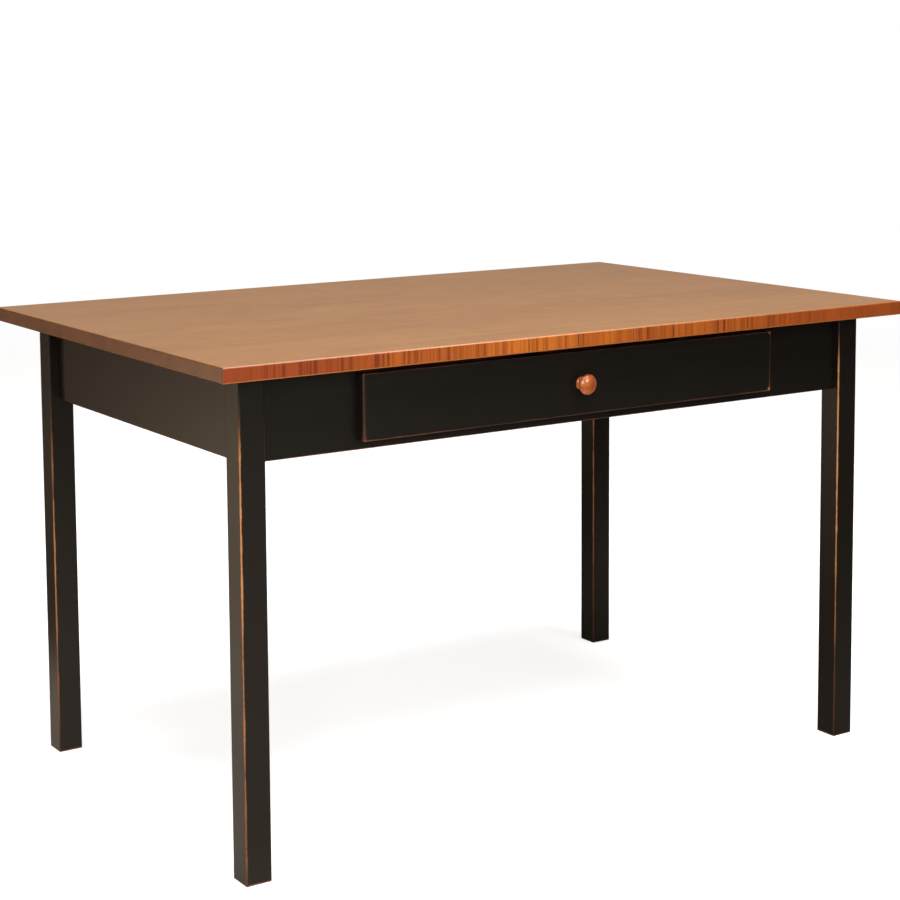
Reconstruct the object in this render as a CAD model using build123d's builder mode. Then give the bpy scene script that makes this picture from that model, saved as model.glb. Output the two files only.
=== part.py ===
"""A shaker sewing desk: four square legs, glued-up aprons, a boarded top and one wide drawer.

Frame: millimetres, X along the front (right is +X), Y towards the back, Z up.
The origin is on the floor, under the centre of the top. The drawer pulls out along -Y.
"""

import os
from build123d import *

os.makedirs("parts", exist_ok=True)

# Top
desk_height = 762.0
top_length = 1290.0
top_depth = 842.0
top_thickness = 23.0
top_board_count = 5
top_corner_radius = 3.0
top_edge_radius = 2.2

# Legs, and how far the top reaches past them
leg_width = 41.3
end_overhang = 51.0
front_overhang = 54.0
back_overhang = 60.0
leg_edge_radius = 2.0
foot_edge_radius = 1.4

# Aprons and their joints
apron_height = 129.0
apron_thickness = 20.0
apron_setback = 16.0
apron_edge_radius = 1.5
tenon_thickness = 10.0
tenon_shoulder = 10.0
glue_gap = 0.1
tenon_end_gap = 1.0

# Corner braces
brace_cut = 30.0
brace_reach = 65.0
brace_height = 60.0
brace_seat = 9.0
brace_screw_rise = 14.0
brace_screw_length = 24.0

# Buttons that hold the top down
button_width = 45.0
button_depth = 28.0
button_thickness = 17.0
button_tongue_depth = 8.0
button_tongue_thickness = 8.0
button_slot_gap = 0.3
button_slot_play = 2.5
button_screw_inset = 15.0
button_screw_length = 30.0
button_pitch_long = 420.0
button_offset_short = 140.0

# Drawer opening and runners
opening_width = 768.0
opening_height = 80.0
runner_thickness = 20.0
runner_height = 70.0
runner_tenon_thickness = 10.0
runner_tenon_shoulder = 10.0
runner_tenon_length = 8.0

# Drawer slides: three channels of folded steel with two rows of balls between each pair
slide_length = 500.0
slide_height = 45.0
slide_space = 12.7
slide_front_inset = 3.0
steel_gauge = 1.2
channel_lip = 1.0
member_gap = 1.0
ball_diameter = 3.2
ball_gap = 0.25
ball_lane = 6.8
ball_pitch = 22.0
balls_per_row = 8
cage_length = 200.0
cage_gauge = 0.4
cage_reach = 9.6
cage_gap = 0.3
slide_screw_inset = 60.0
slide_cabinet_screw_length = 16.0
slide_drawer_screw_length = 12.0

# Drawer
drawer_front_overlap = 10.0
drawer_front_thickness = 19.0
drawer_front_corner_radius = 2.6
drawer_front_edge_radius = 2.0
bumper_thickness = 0.8
bumper_gap = 0.2
bumper_diameter = 8.0
box_wall = 12.7
box_height = 68.0
box_depth = 520.0
tail_count = 3
tail_width = 15.0
tail_slope = 8.0
bottom_thickness = 6.0
bottom_rise = 10.0
bottom_groove_depth = 5.0
bottom_gap = 0.2
front_screw_offset = 250.0
front_screw_rise = 11.0
front_screw_length = 25.0

# Knob
knob_diameter = 33.0
knob_projection = 25.0
knob_base_diameter = 24.0
knob_base_thickness = 3.0
knob_base_bulge = 0.4
knob_base_ease = 0.8
knob_base_ledge = 1.8
knob_neck_diameter = 14.5
knob_rim_height = 18.0
knob_rim_ease = 1.5
knob_rim_half = 1.8
knob_screw_length = 44.0

# Screws
screw_head_diameter = 8.0
screw_shank_diameter = 4.0
pan_head_height = 2.4
screw_gap = 0.1
screw_tip_gap = 1.0

# Levels
under_top = desk_height - top_thickness
apron_bottom = under_top - apron_height
opening_middle = apron_bottom + apron_height / 2
opening_bottom = opening_middle - opening_height / 2
opening_top = opening_middle + opening_height / 2
tenon_bottom = apron_bottom + tenon_shoulder
tenon_top = under_top - tenon_shoulder

# Leg centres
leg_x = top_length / 2 - end_overhang - leg_width / 2
front_leg_y = -top_depth / 2 + front_overhang + leg_width / 2
back_leg_y = top_depth / 2 - back_overhang - leg_width / 2
leg_inside_x = leg_x - leg_width / 2
front_leg_inside_y = front_leg_y + leg_width / 2
back_leg_inside_y = back_leg_y - leg_width / 2

# Apron faces
side_outer_x = leg_x + leg_width / 2 - apron_setback
side_inner_x = side_outer_x - apron_thickness
front_outer_y = front_leg_y - leg_width / 2 + apron_setback
front_inner_y = front_outer_y + apron_thickness
back_outer_y = back_leg_y + leg_width / 2 - apron_setback
back_inner_y = back_outer_y - apron_thickness

LEFT, RIGHT = -1, 1
FRONT, BACK = -1, 1
SIDES = {"left": LEFT, "right": RIGHT}
ROWS = {"front": FRONT, "back": BACK}


def facing(row, x, y):
    """A plane at mid-drawer height that faces the front (-1) or the back (1), with its local X along X."""
    return Plane(origin=(x, y, opening_middle), x_dir=(1, 0, 0), z_dir=(0, row, 0))


def save(piece, name):
    """Label a finished piece and write it as one STEP file."""
    piece.part.label = name
    export_step(piece.part, f"parts/{name}.step")


# ---------------------------------------------------------------- screws and their holes


def countersunk_screw(length):
    """A flat-head screw about Z, driven along -Z, with its head flush at the origin."""
    head = screw_head_diameter / 2
    shank = screw_shank_diameter / 2
    with BuildPart() as screw:
        with BuildSketch(Plane.XZ):
            with BuildLine():
                Polyline(
                    (0, 0),
                    (head, 0),
                    (shank, shank - head),
                    (shank, shank - length),
                    (0, -length),
                    close=True,
                )
            make_face()
        revolve(axis=Axis.Z)
    return screw.part


def pan_screw(length):
    """A round-head screw about Z, driven along -Z, with the seat of its head at the origin."""
    head = screw_head_diameter / 2
    shank = screw_shank_diameter / 2
    with BuildPart() as screw:
        with BuildSketch(Plane.XZ):
            with BuildLine():
                Polyline((0, pan_head_height), (0, -length), (shank, shank - length), (shank, 0), (head, 0))
                TangentArc((0, pan_head_height), (head, 0), tangent=(1, 0))
            make_face()
        revolve(axis=Axis.Z)
    return screw.part


def bore_countersunk(seats, length):
    """Cut the clearance for flat-head screws in the piece being built."""
    with Locations(*seats):
        CounterSinkHole(
            radius=screw_shank_diameter / 2 + screw_gap,
            counter_sink_radius=screw_head_diameter / 2 + screw_gap,
            depth=length + screw_tip_gap,
            counter_sink_angle=90,
        )


def bore_plain(seats, length):
    """Cut the clearance for the shanks of round-head screws in the piece being built."""
    with Locations(*seats):
        Hole(radius=screw_shank_diameter / 2 + screw_gap, depth=length + screw_tip_gap)


def screw_group(name, screw, seats):
    """Write one node that holds a copy of the screw at every seat."""
    with BuildPart() as group:
        with Locations(*seats):
            add(screw)
    save(group, name)


# ---------------------------------------------------------------- buttons under the top

button_bottom = under_top - button_thickness
up = (0, 0, 1)
button_places = {
    "front": [
        Plane(origin=(x, front_inner_y, button_bottom), x_dir=(1, 0, 0), z_dir=up)
        for x in (-button_pitch_long, 0, button_pitch_long)
    ],
    "back": [
        Plane(origin=(x, back_inner_y, button_bottom), x_dir=(-1, 0, 0), z_dir=up)
        for x in (-button_pitch_long, 0, button_pitch_long)
    ],
    "left": [
        Plane(origin=(-side_inner_x, y, button_bottom), x_dir=(0, -1, 0), z_dir=up)
        for y in (-button_offset_short, button_offset_short)
    ],
    "right": [
        Plane(origin=(side_inner_x, y, button_bottom), x_dir=(0, 1, 0), z_dir=up)
        for y in (-button_offset_short, button_offset_short)
    ],
}
all_button_places = [place for row in button_places.values() for place in row]
button_screw_seats = [
    Plane(origin=place.origin + place.y_dir * button_screw_inset, z_dir=(0, 0, -1))
    for place in all_button_places
]


def cut_button_slots(places):
    """Cut the slots for the buttons' tongues in the apron being built."""
    slot_height = button_tongue_thickness + 2 * button_slot_gap
    for place in places:
        with Locations(place.offset(-button_slot_gap)):
            Box(
                button_width + 2 * button_slot_play,
                button_tongue_depth + button_slot_gap,
                slot_height,
                align=(Align.CENTER, Align.MAX, Align.MIN),
                mode=Mode.SUBTRACT,
            )


with BuildPart() as top_buttons:
    with Locations(*all_button_places):
        Box(button_width, button_depth, button_thickness, align=(Align.CENTER, Align.MIN, Align.MIN))
        Box(
            button_width,
            button_tongue_depth,
            button_tongue_thickness,
            align=(Align.CENTER, Align.MAX, Align.MIN),
        )
    bore_countersunk(button_screw_seats, button_screw_length)
save(top_buttons, "top_buttons")
screw_group("top_button_screws", countersunk_screw(button_screw_length), button_screw_seats)

# ---------------------------------------------------------------- top boards

board_width = top_depth / top_board_count
for number in range(top_board_count):
    board_y = -top_depth / 2 + (number + 0.5) * board_width
    with BuildPart() as top_board:
        with BuildSketch(Plane.XY.offset(under_top)):
            RectangleRounded(top_length, top_depth, top_corner_radius)
        extrude(amount=top_thickness)
        rims = top_board.edges().group_by(Axis.Z)
        fillet(rims[0] + rims[-1], radius=top_edge_radius)
        with Locations((0, board_y, under_top)):
            Box(
                top_length,
                board_width,
                top_thickness,
                align=(Align.CENTER, Align.CENTER, Align.MIN),
                mode=Mode.INTERSECT,
            )
        bore_countersunk(button_screw_seats, button_screw_length)
    save(top_board, f"top_board_{number + 1}")

# ---------------------------------------------------------------- legs

tenon_centre_x = (side_outer_x + side_inner_x) / 2
tenon_centre_y = {
    FRONT: (front_outer_y + front_inner_y) / 2,
    BACK: (back_outer_y + back_inner_y) / 2,
}
leg_inside_y = {FRONT: front_leg_inside_y, BACK: back_leg_inside_y}
leg_y = {FRONT: front_leg_y, BACK: back_leg_y}
mortise_half = tenon_thickness / 2 + glue_gap


def mortise_outlines(side, row):
    """The two slots in plan that meet at a right angle inside one leg."""
    centre_x = side * tenon_centre_x
    centre_y = tenon_centre_y[row]
    end_x = centre_x + side * mortise_half
    end_y = centre_y + row * mortise_half
    mouth_x = side * leg_inside_x
    mouth_y = leg_inside_y[row]
    along_y = [
        (centre_x - mortise_half, mouth_y),
        (centre_x + mortise_half, mouth_y),
        (centre_x + mortise_half, end_y),
        (centre_x - mortise_half, end_y),
    ]
    along_x = [
        (mouth_x, centre_y - mortise_half),
        (mouth_x, centre_y + mortise_half),
        (end_x, centre_y + mortise_half),
        (end_x, centre_y - mortise_half),
    ]
    return along_y, along_x


for row_name, row in ROWS.items():
    for side_name, side in SIDES.items():
        with BuildPart() as leg:
            with BuildSketch(Plane(origin=(side * leg_x, leg_y[row], 0))):
                RectangleRounded(leg_width, leg_width, leg_edge_radius)
            extrude(amount=under_top)
            fillet(leg.faces().sort_by(Axis.Z)[0].edges(), radius=foot_edge_radius)
            with BuildSketch(Plane.XY.offset(tenon_bottom - glue_gap)):
                for outline in mortise_outlines(side, row):
                    with BuildLine():
                        Polyline(*outline, close=True)
                    make_face()
            extrude(amount=tenon_top - tenon_bottom + 2 * glue_gap, mode=Mode.SUBTRACT)
        save(leg, f"leg_{row_name}_{side_name}")

# ---------------------------------------------------------------- corner braces

brace_middle = (brace_cut + brace_reach) / 2
apron_inner_y = {FRONT: front_inner_y, BACK: back_inner_y}


def brace_seats(side, row):
    """Seats of the two screws of one brace: one into the side apron, one into the long apron."""
    corner_x = side * side_inner_x
    corner_y = apron_inner_y[row]
    into_side = Plane(
        origin=(
            corner_x - side * brace_seat,
            corner_y - row * brace_middle,
            opening_middle + brace_screw_rise,
        ),
        z_dir=(-side, 0, 0),
    )
    into_long = Plane(
        origin=(
            corner_x - side * brace_middle,
            corner_y - row * brace_seat,
            opening_middle - brace_screw_rise,
        ),
        z_dir=(0, -row, 0),
    )
    return [into_side, into_long]


all_brace_seats = [seat for row in (FRONT, BACK) for side in (LEFT, RIGHT) for seat in brace_seats(side, row)]

for row_name, row in ROWS.items():
    for side_name, side in SIDES.items():
        corner_x = side * side_inner_x
        corner_y = apron_inner_y[row]
        seats = brace_seats(side, row)
        with BuildPart() as brace:
            with BuildSketch(Plane.XY.offset(opening_middle - brace_height / 2)):
                with BuildLine():
                    Polyline(
                        (corner_x, corner_y - row * brace_cut),
                        (corner_x, corner_y - row * brace_reach),
                        (corner_x - side * brace_reach, corner_y),
                        (corner_x - side * brace_cut, corner_y),
                        close=True,
                    )
                make_face()
            extrude(amount=brace_height)
            bore_plain(seats, brace_screw_length)
            with Locations(*seats):
                Cylinder(
                    radius=screw_head_diameter / 2 + screw_tip_gap,
                    height=brace_reach,
                    align=(Align.CENTER, Align.CENTER, Align.MIN),
                    mode=Mode.SUBTRACT,
                )
        save(brace, f"corner_brace_{row_name}_{side_name}")

screw_group("corner_brace_screws", pan_screw(brace_screw_length), all_brace_seats)

# ---------------------------------------------------------------- aprons


def tenon_outline(side, row, runs_along):
    """Plan of the tenon that enters the leg at this corner, mitred where the two tenons meet."""
    half = tenon_thickness / 2
    centre_x = side * tenon_centre_x
    centre_y = tenon_centre_y[row]
    if runs_along == "y":
        shoulder = leg_inside_y[row]
        return [
            (centre_x - side * half, shoulder),
            (centre_x + side * half, shoulder),
            (centre_x + side * half, centre_y + row * (half - tenon_end_gap)),
            (centre_x - side * half, centre_y - row * (half + tenon_end_gap)),
        ]
    shoulder = side * leg_inside_x
    return [
        (shoulder, centre_y - row * half),
        (shoulder, centre_y + row * half),
        (centre_x + side * (half - tenon_end_gap), centre_y + row * half),
        (centre_x - side * (half + tenon_end_gap), centre_y - row * half),
    ]


def add_tenons(corners, runs_along, low, high):
    """Add the tenons at the given corners to the apron being built."""
    with BuildSketch(Plane.XY.offset(low)) as tenons:
        for side, row in corners:
            with BuildLine():
                Polyline(*tenon_outline(side, row, runs_along), close=True)
            make_face()
    extrude(tenons.sketch, amount=high - low)


def board(low_corner, high_corner):
    """A plain board between two opposite corners, for the piece being built."""
    size = Vector(high_corner) - Vector(low_corner)
    with Locations(low_corner):
        Box(size.X, size.Y, size.Z, align=(Align.MIN, Align.MIN, Align.MIN))


for side_name, side in SIDES.items():
    near_x, far_x = sorted((side * side_inner_x, side * side_outer_x))
    with BuildPart() as side_apron:
        board((near_x, front_leg_inside_y, apron_bottom), (far_x, back_leg_inside_y, under_top))
        fillet(side_apron.edges().filter_by(Axis.Y).group_by(Axis.Z)[0], radius=apron_edge_radius)
        add_tenons([(side, FRONT), (side, BACK)], "y", tenon_bottom, tenon_top)
        cut_button_slots(button_places[side_name])
        bore_plain([brace_seats(side, row)[0] for row in (FRONT, BACK)], brace_screw_length)
    save(side_apron, f"apron_{side_name}")

runner_inner_x = opening_width / 2
runner_bottom = opening_middle - runner_height / 2
runner_tenon_x = runner_inner_x + runner_thickness / 2


def cut_runner_mortises(sides, face_y, row):
    """Cut the shallow mortises for the runners' tenons in the board being built."""
    for side in sides:
        with BuildSketch(facing(row, side * runner_tenon_x, face_y)) as mortise:
            Rectangle(
                runner_tenon_thickness + 2 * glue_gap,
                runner_height - 2 * (runner_tenon_shoulder - glue_gap),
            )
        extrude(mortise.sketch, amount=runner_tenon_length + glue_gap, mode=Mode.SUBTRACT)


with BuildPart() as apron_back:
    board((-leg_inside_x, back_inner_y, apron_bottom), (leg_inside_x, back_outer_y, under_top))
    fillet(apron_back.edges().filter_by(Axis.X).group_by(Axis.Z)[0], radius=apron_edge_radius)
    add_tenons([(LEFT, BACK), (RIGHT, BACK)], "x", tenon_bottom, tenon_top)
    cut_button_slots(button_places["back"])
    cut_runner_mortises((LEFT, RIGHT), back_inner_y, BACK)
    bore_plain([brace_seats(side, BACK)[1] for side in (LEFT, RIGHT)], brace_screw_length)
save(apron_back, "apron_back")

with BuildPart() as front_rail_upper:
    board((-leg_inside_x, front_outer_y, opening_top), (leg_inside_x, front_inner_y, under_top))
    add_tenons([(LEFT, FRONT), (RIGHT, FRONT)], "x", opening_top, tenon_top)
    cut_button_slots(button_places["front"])
save(front_rail_upper, "front_rail_upper")

with BuildPart() as front_rail_lower:
    board((-leg_inside_x, front_outer_y, apron_bottom), (leg_inside_x, front_inner_y, opening_bottom))
    fillet(front_rail_lower.edges().filter_by(Axis.X).group_by(Axis.Z)[0], radius=apron_edge_radius)
    add_tenons([(LEFT, FRONT), (RIGHT, FRONT)], "x", tenon_bottom, opening_bottom)
save(front_rail_lower, "front_rail_lower")

for side_name, side in SIDES.items():
    near_x, far_x = sorted((side * opening_width / 2, side * leg_inside_x))
    with BuildPart() as front_panel:
        board((near_x, front_outer_y, opening_bottom), (far_x, front_inner_y, opening_top))
        add_tenons([(side, FRONT)], "x", opening_bottom, opening_top)
        cut_runner_mortises((side,), front_inner_y, FRONT)
        bore_plain([brace_seats(side, FRONT)[1]], brace_screw_length)
    save(front_panel, f"front_panel_{side_name}")

# ---------------------------------------------------------------- drawer slides

slide_front_y = front_outer_y + slide_front_inset
cabinet_web_face = steel_gauge
drawer_web_face = slide_space - steel_gauge
slide_screw_ys = (
    slide_front_y + slide_screw_inset,
    slide_front_y + slide_length / 2,
    slide_front_y + slide_length - slide_screw_inset,
)


def slide_x(side, reach):
    """X of a point that lies this far from the runner towards the drawer."""
    return side * (runner_inner_x - reach)


def cabinet_screw_seats(side):
    return [
        Plane(origin=(slide_x(side, cabinet_web_face), y, opening_middle), z_dir=(-side, 0, 0))
        for y in slide_screw_ys
    ]


def drawer_screw_seats(side):
    return [
        Plane(origin=(slide_x(side, drawer_web_face), y, opening_middle), z_dir=(side, 0, 0))
        for y in slide_screw_ys
    ]


for side_name, side in SIDES.items():
    near_x, far_x = sorted((side * runner_inner_x, side * (runner_inner_x + runner_thickness)))
    with BuildPart() as runner:
        board(
            (near_x, front_inner_y, runner_bottom),
            (far_x, back_inner_y, runner_bottom + runner_height),
        )
        for row, face_y in ((FRONT, front_inner_y), (BACK, back_inner_y)):
            with BuildSketch(facing(row, side * runner_tenon_x, face_y)):
                Rectangle(runner_tenon_thickness, runner_height - 2 * runner_tenon_shoulder)
            extrude(amount=runner_tenon_length)
        bore_countersunk(cabinet_screw_seats(side), slide_cabinet_screw_length)
    save(runner, f"drawer_runner_{side_name}")

# Half heights of the nested channels, from the outside in
cabinet_half = slide_height / 2
outer_ball_level = cabinet_half - steel_gauge - ball_gap - ball_diameter / 2
middle_half = outer_ball_level - ball_diameter / 2 - ball_gap
inner_ball_level = middle_half - steel_gauge - ball_gap - ball_diameter / 2
drawer_half = inner_ball_level - ball_diameter / 2 - ball_gap

# Reach of each channel's web from the runner's face
outer_cage_reach = steel_gauge + cage_gap
middle_web_reach = steel_gauge + member_gap
inner_cage_reach = middle_web_reach + steel_gauge + cage_gap
drawer_flange_end = middle_web_reach + steel_gauge + member_gap
flange_reach = slide_space - steel_gauge


def slide_plane(side):
    """Cross-section plane at the slide's front end, with its local X from the runner to the drawer."""
    return Plane(
        origin=(side * runner_inner_x, slide_front_y, opening_middle), x_dir=(-side, 0, 0), z_dir=(0, 1, 0)
    )


def channel(side, web, flange_end, half_height):
    """A folded steel channel along the slide: a web, two flanges and their short lips."""
    fold = steel_gauge if flange_end > web else -steel_gauge
    with BuildPart() as member:
        with BuildSketch(slide_plane(side)):
            with BuildLine():
                Polyline(
                    (web, 0),
                    (web, half_height),
                    (flange_end, half_height),
                    (flange_end, half_height - steel_gauge - channel_lip),
                    (flange_end - fold, half_height - steel_gauge - channel_lip),
                    (flange_end - fold, half_height - steel_gauge),
                    (web + fold, half_height - steel_gauge),
                    (web + fold, 0),
                    close=True,
                )
            make_face()
            mirror(about=Plane.XZ)
        extrude(amount=slide_length)
    return member.part


cage_start = (slide_length - cage_length) / 2
first_ball = (slide_length - (balls_per_row - 1) * ball_pitch) / 2
ball_ys = [slide_front_y + first_ball + index * ball_pitch for index in range(balls_per_row)]


def ball_cage(side, reach, level):
    """A thin bent strip that keeps the balls of the upper and lower rows apart."""
    with BuildPart() as cage:
        with BuildSketch(slide_plane(side).offset(cage_start)):
            with BuildLine():
                Polyline(
                    (reach, 0),
                    (reach, level + cage_gauge / 2),
                    (cage_reach, level + cage_gauge / 2),
                    (cage_reach, level - cage_gauge / 2),
                    (reach + cage_gauge, level - cage_gauge / 2),
                    (reach + cage_gauge, 0),
                    close=True,
                )
            make_face()
            mirror(about=Plane.XZ)
        extrude(amount=cage_length)
        with Locations(*[(slide_x(side, ball_lane), y, opening_middle + slide_height) for y in ball_ys]):
            Hole(radius=ball_diameter / 2 + screw_gap, depth=2 * slide_height)
    return cage


def ball_rows(side, level):
    """The balls of one cage: an upper row and a lower row, each a separate solid."""
    with BuildPart() as balls:
        with Locations(
            *[
                (slide_x(side, ball_lane), y, opening_middle + direction * level)
                for y in ball_ys
                for direction in (-1, 1)
            ]
        ):
            Sphere(radius=ball_diameter / 2)
    return balls


for side_name, side in SIDES.items():
    with BuildPart() as cabinet_member:
        add(channel(side, 0, flange_reach, cabinet_half))
        bore_countersunk(cabinet_screw_seats(side), slide_cabinet_screw_length)
    save(cabinet_member, f"slide_cabinet_member_{side_name}")

    with BuildPart() as middle_member:
        add(channel(side, middle_web_reach, flange_reach, middle_half))
    save(middle_member, f"slide_middle_member_{side_name}")

    with BuildPart() as drawer_member:
        add(channel(side, slide_space, drawer_flange_end, drawer_half))
        bore_plain(drawer_screw_seats(side), slide_drawer_screw_length)
    save(drawer_member, f"slide_drawer_member_{side_name}")

    save(ball_cage(side, outer_cage_reach, outer_ball_level), f"ball_cage_outer_{side_name}")
    save(ball_cage(side, inner_cage_reach, inner_ball_level), f"ball_cage_inner_{side_name}")
    save(ball_rows(side, outer_ball_level), f"balls_outer_{side_name}")
    save(ball_rows(side, inner_ball_level), f"balls_inner_{side_name}")

screw_group(
    "slide_cabinet_screws",
    countersunk_screw(slide_cabinet_screw_length),
    cabinet_screw_seats(LEFT) + cabinet_screw_seats(RIGHT),
)
screw_group(
    "slide_drawer_screws",
    pan_screw(slide_drawer_screw_length),
    drawer_screw_seats(LEFT) + drawer_screw_seats(RIGHT),
)

# ---------------------------------------------------------------- drawer box

box_half_width = opening_width / 2 - slide_space
box_bottom = opening_middle - box_height / 2
box_top = box_bottom + box_height
drawer_front_back_y = front_outer_y - bumper_gap - bumper_thickness
drawer_face_y = drawer_front_back_y - drawer_front_thickness
box_front_y = drawer_front_back_y
box_back_y = box_front_y + box_depth
box_front_inner_y = box_front_y + box_wall
box_back_inner_y = box_back_y - box_wall
bottom_low = box_bottom + bottom_rise
tail_pitch = box_height / tail_count

knob_seat = Plane(origin=(0, box_front_inner_y, opening_middle), z_dir=(0, 1, 0))
front_screw_seats = [
    Plane(origin=(x, box_front_inner_y, opening_middle + rise), z_dir=(0, 1, 0))
    for x in (-front_screw_offset, front_screw_offset)
    for rise in (-front_screw_rise, front_screw_rise)
]


def draw_tails(end_y, row):
    """Dovetails seen from the side: wide at the end of the board, narrow at the baseline."""
    for index in range(tail_count):
        with Locations((end_y - row * box_wall / 2, box_bottom + (index + 0.5) * tail_pitch)):
            Trapezoid(tail_width, box_wall, 90 - tail_slope, rotation=90 * row)


def cut_bottom_groove():
    """Cut the stopped groove for the drawer's bottom in the board being built."""
    with Locations((0, (box_front_y + box_back_y) / 2, bottom_low + bottom_thickness / 2)):
        Box(
            2 * (box_half_width - box_wall + bottom_groove_depth),
            box_depth - 2 * (box_wall - bottom_groove_depth),
            bottom_thickness + 2 * bottom_gap,
            mode=Mode.SUBTRACT,
        )


for side_name, side in SIDES.items():
    with BuildPart() as drawer_side:
        with BuildSketch(Plane.YZ.offset(side * box_half_width)):
            with Locations(((box_front_y + box_back_y) / 2, opening_middle)):
                Rectangle(box_depth - 2 * box_wall, box_height)
            draw_tails(box_front_y, FRONT)
            draw_tails(box_back_y, BACK)
        extrude(amount=-side * box_wall)
        cut_bottom_groove()
        bore_plain(drawer_screw_seats(side), slide_drawer_screw_length)
    save(drawer_side, f"drawer_side_{side_name}")

for row_name, row, outer_y, inner_y in (
    ("front", FRONT, box_front_y, box_front_inner_y),
    ("back", BACK, box_back_y, box_back_inner_y),
):
    near_y, far_y = sorted((outer_y, inner_y))
    with BuildPart() as box_end:
        board((-box_half_width, near_y, box_bottom), (box_half_width, far_y, box_top))
        for side in (LEFT, RIGHT):
            with BuildSketch(Plane.YZ.offset(side * box_half_width)):
                draw_tails(outer_y, row)
            extrude(amount=-side * box_wall, mode=Mode.SUBTRACT)
        cut_bottom_groove()
        if row == FRONT:
            bore_plain(front_screw_seats, front_screw_length)
            bore_plain([knob_seat], knob_screw_length)
    save(box_end, f"drawer_box_{row_name}")

with BuildPart() as drawer_bottom:
    with Locations((0, (box_front_y + box_back_y) / 2, bottom_low + bottom_thickness / 2)):
        Box(
            2 * (box_half_width - box_wall + bottom_groove_depth - bottom_gap),
            box_depth - 2 * (box_wall - bottom_groove_depth + bottom_gap),
            bottom_thickness,
        )
save(drawer_bottom, "drawer_bottom")

# ---------------------------------------------------------------- drawer front and knob

drawer_front_width = opening_width + 2 * drawer_front_overlap
drawer_front_height = opening_height + 2 * drawer_front_overlap

with BuildPart() as drawer_front:
    with BuildSketch(facing(FRONT, 0, drawer_front_back_y)):
        RectangleRounded(drawer_front_width, drawer_front_height, drawer_front_corner_radius)
    extrude(amount=drawer_front_thickness)
    fillet(drawer_front.faces().sort_by(Axis.Y)[0].edges(), radius=drawer_front_edge_radius)
    bore_plain(front_screw_seats, front_screw_length)
    bore_plain([knob_seat], knob_screw_length)
save(drawer_front, "drawer_front")

screw_group("drawer_front_screws", pan_screw(front_screw_length), front_screw_seats)
screw_group("knob_screw", pan_screw(knob_screw_length), [knob_seat])

with BuildPart() as drawer_bumpers:
    with BuildSketch(facing(BACK, 0, drawer_front_back_y)):
        with GridLocations(
            opening_width + drawer_front_overlap, opening_height + drawer_front_overlap, 2, 2
        ):
            Circle(bumper_diameter / 2)
    extrude(amount=bumper_thickness)
save(drawer_bumpers, "drawer_bumpers")

base_radius = knob_base_diameter / 2
neck_radius = knob_neck_diameter / 2
rim_radius = knob_diameter / 2
neck_height = (knob_base_thickness + knob_rim_height - knob_rim_half) / 2
base_edge = (base_radius - knob_base_ease, knob_base_thickness)
cove_start = (base_radius - knob_base_ease - knob_base_ledge, knob_base_thickness)
cove_end = (rim_radius - knob_rim_ease, knob_rim_height - knob_rim_half)
dome_edge = (rim_radius - knob_rim_ease, knob_rim_height + knob_rim_half)
with BuildPart() as knob:
    with BuildSketch(Plane(origin=(0, drawer_face_y, opening_middle), x_dir=(1, 0, 0), z_dir=(0, 0, -1))):
        with BuildLine():
            Polyline((0, knob_projection), (0, 0), (base_radius, 0))
            ThreePointArc(
                (base_radius, 0), (base_radius + knob_base_bulge, knob_base_thickness / 2), base_edge
            )
            Line(base_edge, cove_start)
            ThreePointArc(cove_start, (neck_radius, neck_height), cove_end)
            ThreePointArc(cove_end, (rim_radius, knob_rim_height), dome_edge)
            TangentArc((0, knob_projection), dome_edge, tangent=(1, 0))
        make_face()
    revolve(axis=Axis((0, drawer_face_y, opening_middle), (0, 1, 0)))
    bore_plain([knob_seat], knob_screw_length)
save(knob, "knob")
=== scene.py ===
"""A shaker sewing desk, dressed: stained curly maple over hand-rubbed black paint, in a plain white studio.

Metres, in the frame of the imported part: X along the front, Y towards the back, Z up from the floor.
"""

import math

import bmesh
import bpy
from mathutils import Matrix, Vector


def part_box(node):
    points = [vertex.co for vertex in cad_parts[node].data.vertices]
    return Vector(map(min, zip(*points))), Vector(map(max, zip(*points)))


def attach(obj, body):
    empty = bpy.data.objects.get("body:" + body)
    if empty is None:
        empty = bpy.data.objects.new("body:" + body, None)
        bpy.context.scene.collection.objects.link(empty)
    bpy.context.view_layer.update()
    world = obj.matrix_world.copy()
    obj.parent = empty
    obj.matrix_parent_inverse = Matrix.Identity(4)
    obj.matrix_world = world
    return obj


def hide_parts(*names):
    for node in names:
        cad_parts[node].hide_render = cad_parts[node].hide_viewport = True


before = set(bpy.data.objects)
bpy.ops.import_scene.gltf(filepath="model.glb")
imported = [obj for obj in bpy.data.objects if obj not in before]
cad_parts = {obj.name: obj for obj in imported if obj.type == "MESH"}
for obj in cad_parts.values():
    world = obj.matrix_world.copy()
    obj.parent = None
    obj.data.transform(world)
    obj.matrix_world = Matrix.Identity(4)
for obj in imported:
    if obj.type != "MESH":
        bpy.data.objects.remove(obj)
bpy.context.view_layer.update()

MM = 0.001
ROWS = ("front", "back")
SIDES = ("left", "right")

# ---------------------------------------------------------------- where things are

desk_low, desk_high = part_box("top_board_1")[0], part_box("top_board_5")[1]
front_low, front_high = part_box("drawer_front")
apron_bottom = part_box("apron_left")[0].z
front_apron_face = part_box("front_rail_lower")[0].y
left_apron_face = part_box("apron_left")[0].x
right_apron_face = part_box("apron_right")[1].x
back_apron_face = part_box("apron_back")[1].y

# ---------------------------------------------------------------- mixing finishes


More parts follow.
